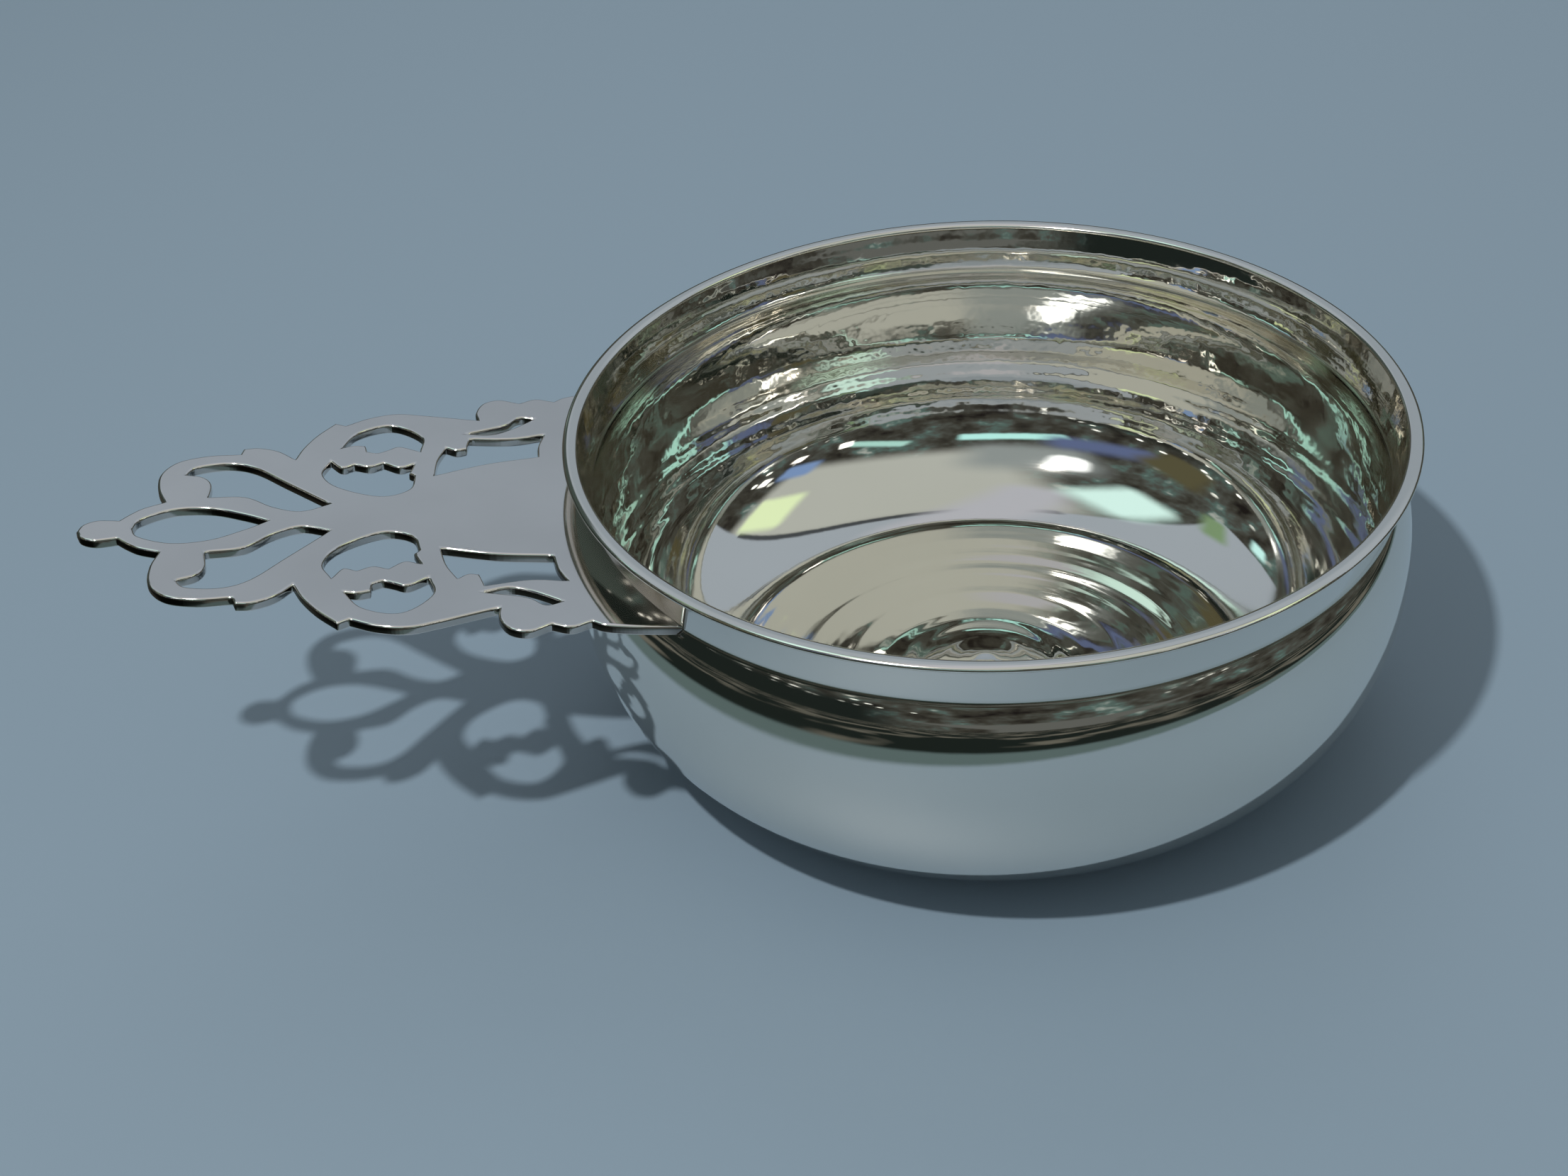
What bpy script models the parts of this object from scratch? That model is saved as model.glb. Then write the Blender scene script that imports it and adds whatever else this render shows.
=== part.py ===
"""Silver porringer: a round spun bowl, a wire round its rim and one flat pierced handle.

Metres, +Z up. The origin is halfway along the porringer, in the plane that the bowl stands
on, and the handle points along -X.
"""

import math

import bmesh
import bpy
from mathutils import Matrix

# Bowl, spun from one sheet
BOWL_HEIGHT = 0.0494  # table to the top of the rim wire
RIM_RADIUS = 0.060  # outer edge of the rim wire
WALL = 0.0009  # gauge of the sheet
COLLAR_DEPTH = 0.00755  # top of the rim down to the crease of the neck
NECK_INSET = 0.0026  # the crease lies this far inside the rim's outer edge
BELLY_SWELL = 0.0029  # the belly stands this far outside the crease
BELLY_DEPTH = 0.0205  # top of the rim down to the widest part of the belly
FOOT_RADIUS = 0.033  # middle of the flat ring that the bowl stands on
FOOT_WIDTH = 0.0024
DOME_HEIGHT = 0.0035  # the bottom rises this much inside the ring
SHOULDER_ANGLE = math.radians(36)  # slope of the belly where it leaves the crease

# Fullness of the curves of the bowl's profile, as shares of each curve's own width and height
COLLAR_TOP_PULL = (0.5, 0.3)
COLLAR_FOOT_PULL = (0.1, 0.3)
SHOULDER_PULL = 0.8
WIDEST_PULL_UP = 0.4
WIDEST_PULL_DOWN = 0.52
FOOT_PULL = 0.62
DOME_PULL = 0.36

# Rim wire, an oval section soldered on the edge of the collar
WIRE_WIDTH = 0.0021
WIRE_HEIGHT = 0.0011

# Handle plate, sawn from flat sheet and soldered into the neck
HANDLE_LENGTH = 0.069  # along the plate, from the crease to the tip of the knob
HANDLE_WIDTH = 0.060  # across the plate at its end lobes
PLATE_THICKNESS = 0.0015
HANDLE_TILT = math.radians(5.8)  # the plate rises this much towards its tip

# Solder under the handle, a thin bead in the corner between plate and belly
SOLDER_RADIUS = 0.0005
SOLDER_MARGIN = 0.0025  # the bead stops this far inside the corners of the plate

JOINT_GAP = 0.0003  # between pieces that touch
ROUND_STEPS = 80  # facets round the bowl
COLLAR_STEPS = 3  # facets down the bowl's profile
SHOULDER_STEPS = 6
BELLY_STEPS = 10
DOME_STEPS = 6
WIRE_SIDES = 12
SOLDER_STEPS = 24
RUN_STEPS = 3  # straight pieces between two points of the handle's drawing
WELD = 0.000001  # points nearer than this are one
SHARP_ANGLE = math.radians(40)  # edges steeper than this are shaded sharp

# Heights and radii that follow from the sizes above
NECK_Z = BOWL_HEIGHT - COLLAR_DEPTH
NECK_RADIUS = RIM_RADIUS - NECK_INSET
BELLY_Z = BOWL_HEIGHT - BELLY_DEPTH
BELLY_RADIUS = NECK_RADIUS + BELLY_SWELL
COLLAR_TOP_Z = BOWL_HEIGHT - WIRE_HEIGHT - JOINT_GAP
COLLAR_TOP_RADIUS = RIM_RADIUS - WIRE_WIDTH + WALL
HANDLE_REACH = NECK_RADIUS + HANDLE_LENGTH * math.cos(HANDLE_TILT)  # from the bowl's axis
BOWL_AXIS_X = (HANDLE_REACH - BELLY_RADIUS) / 2  # puts the middle of the length at the origin

# The handle is drawn on squares: this many from crease to tip, and this many across.
# At its root the drawing runs on inside the bowl, whose own form cuts it back to its seat.
SQUARES_LONG = 69
SQUARES_ACROSS = 60
SQUARES_INSIDE = 7

# One side of the outline, from the tip to the root. Each run is a smooth line through its
# points, (along, across) in squares, and two runs meet in a sharp corner.
OUTLINE_RUNS = [
    # knob at the tip
    [(69.0, 0.0), (68.3, 1.6), (66.6, 2.5), (64.8, 2.4), (63.6, 2.2)],
    # shoulder of the bud
    [(63.6, 2.2), (62.3, 3.6), (60.6, 5.0), (57.9, 6.2)],
    # back of the scroll and its small step
    [(57.9, 6.2), (58.9, 9.6), (58.8, 13.6), (56.6, 16.7), (52.5, 18.0), (48.0, 18.0)],
    [(48.0, 18.0), (47.6, 19.4)],
    [(47.6, 19.4), (45.4, 19.5), (42.6, 18.3), (40.3, 15.9)],
    # round back of the eye, with a nick
    [(40.3, 15.9), (39.2, 18.8), (37.3, 22.1), (34.6, 25.4)],
    [(34.6, 25.4), (33.1, 24.6)],
    [(33.1, 24.6), (29.8, 26.4), (25.8, 27.3), (21.6, 26.4), (13.9, 24.2)],
    # end lobes
    [(13.9, 24.2), (14.1, 26.4), (12.9, 29.0), (10.4, 29.9), (7.5, 28.6)],
    [(7.5, 28.6), (5.0, 29.6), (2.3, 28.6)],
    [(2.3, 28.6), (0.6, 29.7), (-3.4, 30.6), (-9.0, 31.3)],
]

# Opening on the centre line, one side from its round end to its point
BUD_RUNS = [
    [(61.7, 0.0), (60.7, 2.1), (56.5, 4.1), (51.5, 3.9), (47.0, 1.9), (43.8, 0.0)],
]

# Openings of one side, each a closed ring of runs
COMMA_RUNS = [
    [(55.3, 13.2), (53.9, 14.9), (49.5, 15.5), (45.8, 14.0), (41.4, 9.5), (35.5, 3.4)],
    [(35.5, 3.4), (39.3, 2.0), (43.0, 3.4), (46.9, 6.4), (51.9, 6.9)],
    [(51.9, 6.9), (51.7, 10.3), (52.9, 12.3), (55.3, 13.2)],
]
INNER_EYE_RUNS = [
    [(35.3, 14.8), (36.4, 11.4), (34.3, 7.7), (28.6, 4.7), (24.6, 6.0), (23.7, 9.6)],
    [(23.7, 9.6), (24.4, 10.3)],
    [(24.4, 10.3), (23.6, 12.8)],
    [(23.6, 12.8), (25.7, 12.0), (27.9, 13.5)],
    [(27.9, 13.5), (29.9, 12.7), (32.0, 13.5)],
    [(32.0, 13.5), (33.8, 12.8), (35.3, 14.8)],
]
OUTER_EYE_RUNS = [
    [(33.7, 18.3), (32.0, 18.8), (30.3, 18.5)],
    [(30.3, 18.5), (30.1, 16.9)],
    [(30.1, 16.9), (28.7, 16.4), (27.3, 17.0)],
    [(27.3, 17.0), (25.5, 17.8), (22.7, 16.2)],
    [(22.7, 16.2), (22.4, 20.2), (26.5, 23.8), (31.3, 22.2), (33.7, 18.3)],
]
SLOT_RUNS = [
    [(20.8, 9.4), (13.5, 11.7), (6.0, 12.9)],
    [(6.0, 12.9), (5.7, 15.9), (4.6, 19.0)],
    [(4.6, 19.0), (9.5, 18.2), (15.4, 18.9)],
    [(15.4, 18.9), (16.0, 16.2)],
    [(16.0, 16.2), (17.5, 15.9), (18.9, 16.8)],
    [(18.9, 16.8), (20.2, 13.4), (20.8, 9.4)],
]
SLIT_RUNS = [
    [(15.8, 20.4), (12.4, 19.8), (9.4, 21.0), (5.7, 23.7)],
    [(5.7, 23.7), (7.9, 24.2), (10.2, 22.2), (15.8, 20.4)],
]


def clear_scene():
    for item in list(bpy.data.objects):
        bpy.data.objects.remove(item, do_unlink=True)


def new_collection(name):
    collection = bpy.data.collections.new(name)
    bpy.context.scene.collection.children.link(collection)
    return collection


def silver(name, colour, roughness):
    """A polished metal of the given colour."""
    material = bpy.data.materials.new(name)
    material.use_nodes = True
    shader = material.node_tree.nodes["Principled BSDF"]
    shader.inputs["Base Color"].default_value = (*colour, 1.0)
    shader.inputs["Metallic"].default_value = 1.0
    shader.inputs["Roughness"].default_value = roughness
    return material


def bezier(start, start_handle, end_handle, end, steps):
    """Points of one cubic curve, without its first point."""
    points = []
    for step in range(1, steps + 1):
        t = step / steps
        weights = ((1 - t) ** 3, 3 * (1 - t) ** 2 * t, 3 * (1 - t) * t**2, t**3)
        corners = (start, start_handle, end_handle, end)
        points.append(tuple(sum(w * c[i] for w, c in zip(weights, corners)) for i in (0, 1)))
    return points


def bowl_wall(grow=0.0):
    """Outer side of the bowl, (radius, height) from the top of the collar to the foot."""
    collar_top = (COLLAR_TOP_RADIUS, COLLAR_TOP_Z)
    crease = (NECK_RADIUS, NECK_Z)
    widest = (BELLY_RADIUS, BELLY_Z)
    foot = (FOOT_RADIUS + FOOT_WIDTH / 2, 0.0)
    rise = COLLAR_TOP_Z - NECK_Z
    drop = NECK_Z - BELLY_Z
    lean = COLLAR_TOP_RADIUS - NECK_RADIUS
    out = SHOULDER_PULL * BELLY_SWELL
    points = [collar_top]
    points += bezier(
        collar_top,
        (collar_top[0] - COLLAR_TOP_PULL[0] * lean, collar_top[1] - COLLAR_TOP_PULL[1] * rise),
        (crease[0] + COLLAR_FOOT_PULL[0] * lean, crease[1] + COLLAR_FOOT_PULL[1] * rise),
        crease,
        COLLAR_STEPS,
    )
    points += bezier(
        crease,
        (crease[0] + out, crease[1] - out / math.tan(SHOULDER_ANGLE)),
        (widest[0], widest[1] + WIDEST_PULL_UP * drop),
        widest,
        SHOULDER_STEPS,
    )
    points += bezier(
        widest,
        (widest[0], widest[1] - WIDEST_PULL_DOWN * BELLY_Z),
        (foot[0] + FOOT_PULL * (BELLY_RADIUS - foot[0]), 0.0),
        foot,
        BELLY_STEPS,
    )
    return [(radius + grow, height) for radius, height in points]


def bowl_profile():
    """Outer side of the whole bowl, from the top of the collar to the top of the dome."""
    inside = FOOT_RADIUS - FOOT_WIDTH / 2
    foot = (inside, 0.0)
    dome_top = (0.0, DOME_HEIGHT)
    dome = bezier(
        foot,
        (inside - DOME_PULL * inside, 0.0),
        (DOME_PULL * inside, DOME_HEIGHT),
        dome_top,
        DOME_STEPS,
    )
    return bowl_wall() + [foot] + dome


def profile_mesh(name, points, closed=False):
    """A chain of edges in the XZ plane for a Screw modifier."""
    mesh = bpy.data.meshes.new(name)
    edges = [(i, i + 1) for i in range(len(points) - 1)]
    if closed:
        edges.append((len(points) - 1, 0))
    mesh.from_pydata([(x, 0.0, z) for x, z in points], edges, [])
    return mesh


def turn(item):
    screw = item.modifiers.new("turn", "SCREW")
    screw.steps = ROUND_STEPS
    screw.render_steps = ROUND_STEPS
    screw.use_merge_vertices = True
    screw.merge_threshold = WELD
    screw.use_smooth_shade = True


def make_bowl(parts):
    bowl = bpy.data.objects.new("bowl", profile_mesh("bowl", bowl_profile()))
    parts.objects.link(bowl)
    turn(bowl)
    shell = bowl.modifiers.new("sheet", "SOLIDIFY")
    shell.thickness = WALL
    shell.offset = -1.0
    shell.use_even_offset = True
    bowl.data.materials.append(silver("bowl_silver", (0.86, 0.85, 0.80), 0.06))
    return bowl


def make_rim_wire(parts):
    centre_radius = RIM_RADIUS - WIRE_WIDTH / 2
    centre_z = BOWL_HEIGHT - WIRE_HEIGHT / 2
    section = []
    for side in range(WIRE_SIDES):
        angle = math.pi / 2 - 2 * math.pi * side / WIRE_SIDES
        section.append(
            (
                centre_radius + WIRE_WIDTH / 2 * math.cos(angle),
                centre_z + WIRE_HEIGHT / 2 * math.sin(angle),
            )
        )
    wire = bpy.data.objects.new("rim_wire", profile_mesh("rim_wire", section, closed=True))
    parts.objects.link(wire)
    turn(wire)
    wire.data.materials.append(silver("rim_silver", (0.88, 0.87, 0.82), 0.08))
    return wire


def smooth_run(points):
    """Points of a smooth line through the given ones, without the last."""
    if len(points) == 2:
        return [points[0]]
    first = [2 * a - b for a, b in zip(points[0], points[1])]
    last = [2 * a - b for a, b in zip(points[-1], points[-2])]
    chain = [first, *points, last]
    found = [points[0]]
    for before, start, end, after in zip(chain, chain[1:], chain[2:], chain[3:]):
        # At each point the line runs parallel to the chord between its two neighbours.
        leave = [s + (e - b) / 6 for b, s, e in zip(before, start, end)]
        arrive = [e - (a - s) / 6 for s, e, a in zip(start, end, after)]
        found += bezier(start, leave, arrive, end, RUN_STEPS)
    return found[:-1]


def follow(runs):
    return [point for run in runs for point in smooth_run(run)]


def on_plate(along, across):
    """A point of the drawing in the plate's own plane, crease at zero and tip along -X."""
    return (-along * HANDLE_LENGTH / SQUARES_LONG, across * HANDLE_WIDTH / SQUARES_ACROSS)


def mirrored(side):
    """A closed line from one side, which starts and ends on the centre line or runs to the root."""
    other = [(along, -across) for along, across in reversed(side) if across > 0]
    return side + other


def handle_drawing():
    """All closed lines of the handle: its outline, then its openings."""
    root = OUTLINE_RUNS[-1][-1]
    inside = (root[0] - SQUARES_INSIDE, root[1])
    lines = [
        mirrored(follow(OUTLINE_RUNS) + [root, inside]),
        mirrored(follow(BUD_RUNS) + [BUD_RUNS[-1][-1]]),
    ]
    for runs in (COMMA_RUNS, INNER_EYE_RUNS, OUTER_EYE_RUNS, SLOT_RUNS, SLIT_RUNS):
        ring = follow(runs)
        lines.append(ring)
        lines.append([(along, -across) for along, across in reversed(ring)])
    return lines


def flat_plate(name, lines, thickness):
    """A closed mesh of the given lines, filled and extruded."""
    curve = bpy.data.curves.new(name, "CURVE")
    curve.dimensions = "2D"
    curve.fill_mode = "BOTH"
    curve.extrude = thickness / 2
    for line in lines:
        spline = curve.splines.new("POLY")
        spline.points.add(len(line) - 1)
        for point, (along, across) in zip(spline.points, line):
            point.co = (*on_plate(along, across), 0.0, 1.0)
        spline.use_cyclic_u = True
    guide = bpy.data.objects.new(name + "_drawing", curve)
    bpy.context.scene.collection.objects.link(guide)
    graph = bpy.context.evaluated_depsgraph_get()
    mesh = bpy.data.meshes.new_from_object(guide.evaluated_get(graph))
    bpy.data.objects.remove(guide, do_unlink=True)
    work = bmesh.new()
    work.from_mesh(mesh)
    bmesh.ops.remove_doubles(work, verts=work.verts, dist=WELD)
    bmesh.ops.recalc_face_normals(work, faces=work.faces)
    work.to_mesh(mesh)
    work.free()
    return mesh


def plate_frame():
    """Seat of the plate: its lower face meets the crease on the centre line."""
    place = Matrix.Translation((-NECK_RADIUS, 0.0, NECK_Z))
    slope = Matrix.Rotation(HANDLE_TILT, 4, "Y")
    lift = Matrix.Translation((0.0, 0.0, PLATE_THICKNESS / 2))
    return place @ slope @ lift


def make_handle_plate(parts, cutters):
    plate = bpy.data.objects.new(
        "handle_plate", flat_plate("handle_plate", handle_drawing(), PLATE_THICKNESS)
    )
    parts.objects.link(plate)
    plate.matrix_local = plate_frame()
    wall = bowl_wall(JOINT_GAP)
    seat_profile = [(0.0, wall[0][1]), *wall, (0.0, wall[-1][1])]
    seat = bpy.data.objects.new("neck_seat", profile_mesh("neck_seat", seat_profile))
    cutters.objects.link(seat)
    seat.hide_render = True
    seat.display_type = "WIRE"
    turn(seat)
    cut = plate.modifiers.new("seat in the neck", "BOOLEAN")
    cut.operation = "DIFFERENCE"
    cut.solver = "EXACT"
    cut.object = seat
    plate.data.materials.append(silver("handle_silver", (0.84, 0.83, 0.82), 0.05))
    return plate


def radius_at(height):
    """Outer radius of the belly at a height below the crease."""
    below = [point for point in bowl_wall() if point[1] <= NECK_Z]
    for upper, lower in zip(below, below[1:]):
        if lower[1] <= height <= upper[1]:
            share = (upper[1] - height) / (upper[1] - lower[1])
            return upper[0] + share * (lower[0] - upper[0])
    return NECK_RADIUS


def make_handle_solder(parts):
    half_width = OUTLINE_RUNS[-1][-1][1] * HANDLE_WIDTH / SQUARES_ACROSS - SOLDER_MARGIN
    reach = math.asin(half_width / NECK_RADIUS)
    offset = SOLDER_RADIUS + JOINT_GAP
    curve = bpy.data.curves.new("handle_solder", "CURVE")
    curve.dimensions = "3D"
    curve.bevel_depth = SOLDER_RADIUS
    curve.bevel_resolution = 2
    curve.use_fill_caps = True
    spline = curve.splines.new("POLY")
    spline.points.add(SOLDER_STEPS)
    for step, point in enumerate(spline.points):
        angle = reach * (2 * step / SOLDER_STEPS - 1)
        # The plate's lower face drops towards its corners, and the belly's wall leans under it.
        behind = NECK_RADIUS * (1 - math.cos(angle))
        height = NECK_Z - behind * math.tan(HANDLE_TILT) - offset
        lean = (radius_at(height - offset) - radius_at(height)) / offset
        radius = radius_at(height) + offset * math.hypot(1.0, lean)
        point.co = (-radius * math.cos(angle), radius * math.sin(angle), height, 1.0)
    solder = bpy.data.objects.new("handle_solder", curve)
    parts.objects.link(solder)
    curve.materials.append(silver("solder", (0.78, 0.77, 0.72), 0.25))
    return solder


def shade(item):
    item.data.shade_smooth()
    item.data.set_sharp_from_angle(angle=SHARP_ANGLE)


clear_scene()
parts = new_collection("porringer")
cutters = new_collection("porringer_cutters")
make_bowl(parts)
make_rim_wire(parts)
shade(make_handle_plate(parts, cutters))
make_handle_solder(parts)

# Everything is modelled round the bowl's axis and hangs on an empty that stands there.
axis = bpy.data.objects.new("bowl_axis", None)
parts.objects.link(axis)
axis.location.x = BOWL_AXIS_X
for item in [*parts.objects, *cutters.objects]:
    if item != axis:
        item.parent = axis
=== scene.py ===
"""Silver porringer: a spun bowl, a wire round its rim and one flat pierced handle."""

import math

import bmesh
import bpy
from mathutils import Matrix, Vector


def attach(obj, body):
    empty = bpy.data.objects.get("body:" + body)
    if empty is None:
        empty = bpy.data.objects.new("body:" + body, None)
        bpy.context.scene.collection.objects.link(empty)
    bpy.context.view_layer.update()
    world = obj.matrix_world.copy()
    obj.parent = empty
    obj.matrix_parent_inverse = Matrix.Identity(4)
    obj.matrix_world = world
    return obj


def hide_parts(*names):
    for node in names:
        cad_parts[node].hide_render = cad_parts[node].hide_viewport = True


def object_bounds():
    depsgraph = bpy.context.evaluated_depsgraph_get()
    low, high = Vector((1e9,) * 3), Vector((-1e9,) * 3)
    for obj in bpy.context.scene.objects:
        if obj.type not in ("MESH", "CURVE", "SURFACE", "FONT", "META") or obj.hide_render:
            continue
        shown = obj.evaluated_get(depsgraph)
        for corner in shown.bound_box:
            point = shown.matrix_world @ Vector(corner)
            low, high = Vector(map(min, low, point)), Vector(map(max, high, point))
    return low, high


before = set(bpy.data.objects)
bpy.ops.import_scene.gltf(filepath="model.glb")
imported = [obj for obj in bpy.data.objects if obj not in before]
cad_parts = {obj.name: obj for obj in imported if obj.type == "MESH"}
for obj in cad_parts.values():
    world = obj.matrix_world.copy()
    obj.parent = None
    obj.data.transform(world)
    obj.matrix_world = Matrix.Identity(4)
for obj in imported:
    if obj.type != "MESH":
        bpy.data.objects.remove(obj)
cad_box = [list(corner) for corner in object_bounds()]

# Camera
# It stands at the front left of the bowl and looks down on it at 36 degrees, close in,
# with the picture tipped a little to one side.
BOWL_X = cad_box[1][0] - (cad_box[1][1] - cad_box[0][1]) / 2
CAMERA_PLACE = (BOWL_X - 0.0645, -0.2514, 0.2052)
CAMERA_LOOK = Vector((0.10915, 0.80560, -0.58232))
CAMERA_ROLL = math.radians(-4.03)
CAMERA_LENS = 48.75
SENSOR_WIDTH = 36.0
NEAREST_SEEN = 0.01
MOST_BOUNCES = 16
MOST_MIRRORINGS = 12

level_right = CAMERA_LOOK.cross((0.0, 0.0, 1.0)).normalized()
level_up = level_right.cross(CAMERA_LOOK)
tipped_right = level_right * math.cos(CAMERA_ROLL) + level_up * math.sin(CAMERA_ROLL)
tipped_up = tipped_right.cross(CAMERA_LOOK)
camera = bpy.data.objects.new("camera", bpy.data.cameras.new("camera"))
camera.data.sensor_width = SENSOR_WIDTH
camera.data.lens = CAMERA_LENS
camera.data.clip_start = NEAREST_SEEN
camera.matrix_world = Matrix.Translation(CAMERA_PLACE) @ Matrix(
    (tipped_right, tipped_up, -CAMERA_LOOK)
).transposed().to_4x4()
bpy.context.scene.collection.objects.link(camera)
bpy.context.scene.camera = camera
bpy.context.scene.view_settings.view_transform = "Standard"
bpy.context.scene.cycles.max_bounces = MOST_BOUNCES
bpy.context.scene.cycles.glossy_bounces = MOST_MIRRORINGS

# Table
# A matt blue-grey table top with a soft sheen. In the silver it ends a hand's breadth in front
# of the bowl, past a grey-green edge, with the dark room beyond. Far off it fades into the backdrop.
TABLE_COLOUR = (0.196, 0.268, 0.340, 1.0)
TABLE_ROUGHNESS = 0.55
TABLE_HALF = 20.0
LIT_MIDDLE = (BOWL_X + 0.06, 0.035, 0.0)
LIT_RADIUS = 0.186
LIT_SOFT = 0.006
EDGE_RADIUS = 0.214
DARK_RADIUS = 0.232
TABLE_EDGE = (0.102, 0.148, 0.150, 1.0)
ROOM_DARK = (0.012, 0.017, 0.015, 1.0)
ROOM_THINGS = (0.135, 0.132, 0.110, 1.0)
THINGS_SCALE = 8.0
THINGS_DETAIL = 2.0
THINGS_LEAST = 0.50
THINGS_MOST = 0.60
FADE_START = 0.50
FADE_END = 1.60
BACKDROP = (0.205, 0.274, 0.335, 1.0)


def add_node(tree, kind, settings=None, **inputs):
    """A new node with its settings and its inputs, linked where a socket is given. An input
    called i and a number is found by that number."""
    made = tree.nodes.new(kind)
    for name, value in (settings or {}).items():
        setattr(made, name, value)
    for name, value in inputs.items():
        key = int(name[1:]) if name[0] == "i" and name[1:].isdigit() else name.replace("_", " ")
        socket = made.inputs[key]
        if isinstance(value, bpy.types.NodeSocket):
            tree.links.new(value, socket)
        else:
            socket.default_value = value
    return made


def calculate(tree, operation, *values):
    """The result of one sum on numbers."""
    numbered = {f"i{place}": value for place, value in enumerate(values)}
    return add_node(tree, "ShaderNodeMath", {"operation": operation}, **numbered).outputs["Value"]


def calculate_vector(tree, operation, *values):
    """The result of one sum on vectors: a number for a length or a distance, else a vector."""
    numbered = {f"i{place}": value for place, value in enumerate(values)}
    made = add_node(tree, "ShaderNodeVectorMath", {"operation": operation}, **numbered)
    return made.outputs["Value" if operation in ("LENGTH", "DISTANCE") else "Vector"]


def change_over(tree, value, start, end, first=0.0, last=1.0, curve="SMOOTHSTEP"):
    """Goes from the first amount to the last one while the value goes from start to end."""
    made = add_node(
        tree,
        "ShaderNodeMapRange",
        {"interpolation_type": curve},
        Value=value,
        From_Min=start,
        From_Max=end,
        To_Min=first,
        To_Max=last,
    )
    return made.outputs["Result"]


def blend_colours(tree, share, first, second):
    """The first colour where the share is 0, the second one where it is 1."""
    made = add_node(tree, "ShaderNodeMix", {"data_type": "RGBA"}, i0=share, i6=first, i7=second)
    return made.outputs[2]


def blend_shaders(tree, share, first, second):
    """The first shader where the share is 0, the second one where it is 1."""
    return add_node(tree, "ShaderNodeMixShader", Fac=share, i1=first, i2=second).outputs["Shader"]


def new_material(name):
    """An empty material and its node tree."""
    material = bpy.data.materials.new(name)
    material.use_nodes = True
    material.node_tree.nodes.clear()
    return material, material.node_tree


table_mesh = bpy.data.meshes.new("table_top")
table_mesh.from_pydata(
    [(x * TABLE_HALF, y * TABLE_HALF, 0.0) for x, y in ((-1, -1), (1, -1), (1, 1), (-1, 1))],
    [],
    [(0, 1, 2, 3)],
)
table = bpy.data.objects.new("table_top", table_mesh)
bpy.context.scene.collection.objects.link(table)
table_material, tree = new_material("table_top")
place = add_node(tree, "ShaderNodeTexCoord").outputs["Object"]
far_out = calculate_vector(tree, "DISTANCE", place, LIT_MIDDLE)
past_light = change_over(tree, far_out, LIT_RADIUS - LIT_SOFT, LIT_RADIUS + LIT_SOFT)
past_edge = change_over(tree, far_out, EDGE_RADIUS, DARK_RADIUS)
things = add_node(
    tree, "ShaderNodeTexNoise", Vector=place, Scale=THINGS_SCALE, Detail=THINGS_DETAIL
)
on_thing = change_over(tree, things.outputs["Fac"], THINGS_LEAST, THINGS_MOST, curve="LINEAR")
room_colour = blend_colours(tree, on_thing, ROOM_DARK, ROOM_THINGS)
beyond = blend_colours(tree, past_edge, TABLE_EDGE, room_colour)
seen_by = add_node(tree, "ShaderNodeLightPath")
top = add_node(
    tree, "ShaderNodeBsdfPrincipled", Base_Color=TABLE_COLOUR, Roughness=TABLE_ROUGHNESS
)
# Past the lit radius the silver sees glowing edge and room colours in place of the table: a painted
# reflection.
dark = add_node(tree, "ShaderNodeEmission", Color=beyond, Strength=1.0)
dark_share = calculate(tree, "MULTIPLY", past_light, seen_by.outputs["Is Glossy Ray"])
in_silver = blend_shaders(tree, dark_share, top.outputs["BSDF"], dark.outputs["Emission"])
far_off = change_over(tree, far_out, FADE_START, FADE_END)
backdrop = add_node(tree, "ShaderNodeEmission", Color=BACKDROP, Strength=1.0)
fade_share = calculate(tree, "MULTIPLY", far_off, seen_by.outputs["Is Camera Ray"])
faded = blend_shaders(tree, fade_share, in_silver, backdrop.outputs["Emission"])
add_node(tree, "ShaderNodeOutputMaterial", Surface=faded)
table_mesh.materials.append(table_material)

# Light
# One lamp a little to the left of the camera throws the crisp shadow of the handle, a broad
# weak one behind evens out the table, and the room adds soft light from all sides.
LAMP_PLACE = Vector((BOWL_X - 0.254, -0.238, 0.627))
LAMP_SIZE = 0.024
LAMP_POWER = 6.95
LAMP_COLOUR = (1.0, 0.98, 0.94)
FILL_PLACE = Vector((BOWL_X + 0.15, 0.75, 0.85))
FILL_SIZE = 0.7
FILL_POWER = 1.5
ROOM_SOFT = (0.392, 0.405, 0.392, 1.0)


def add_lamp(name, place, size, power):
    """A round lamp that faces the bowl."""
    data = bpy.data.lights.new(name, "AREA")
    data.shape = "DISK"
    data.size = size
    data.energy = power
    made = bpy.data.objects.new(name, data)
    made.location = place
    made.rotation_mode = "QUATERNION"
    made.rotation_quaternion = (place - Vector((BOWL_X, 0.0, 0.0))).to_track_quat("Z", "Y")
    bpy.context.scene.collection.objects.link(made)
    return made


lamp = add_lamp("lamp", LAMP_PLACE, LAMP_SIZE, LAMP_POWER)
lamp.data.color = LAMP_COLOUR
lamp.data.use_nodes = True
tree = lamp.data.node_tree
even = add_node(tree, "ShaderNodeLightFalloff", Strength=1.0)
tree.links.new(even.outputs["Constant"], tree.nodes["Emission"].inputs["Strength"])
fill = add_lamp("fill", FILL_PLACE, FILL_SIZE, FILL_POWER)
fill.visible_glossy = False

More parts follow.
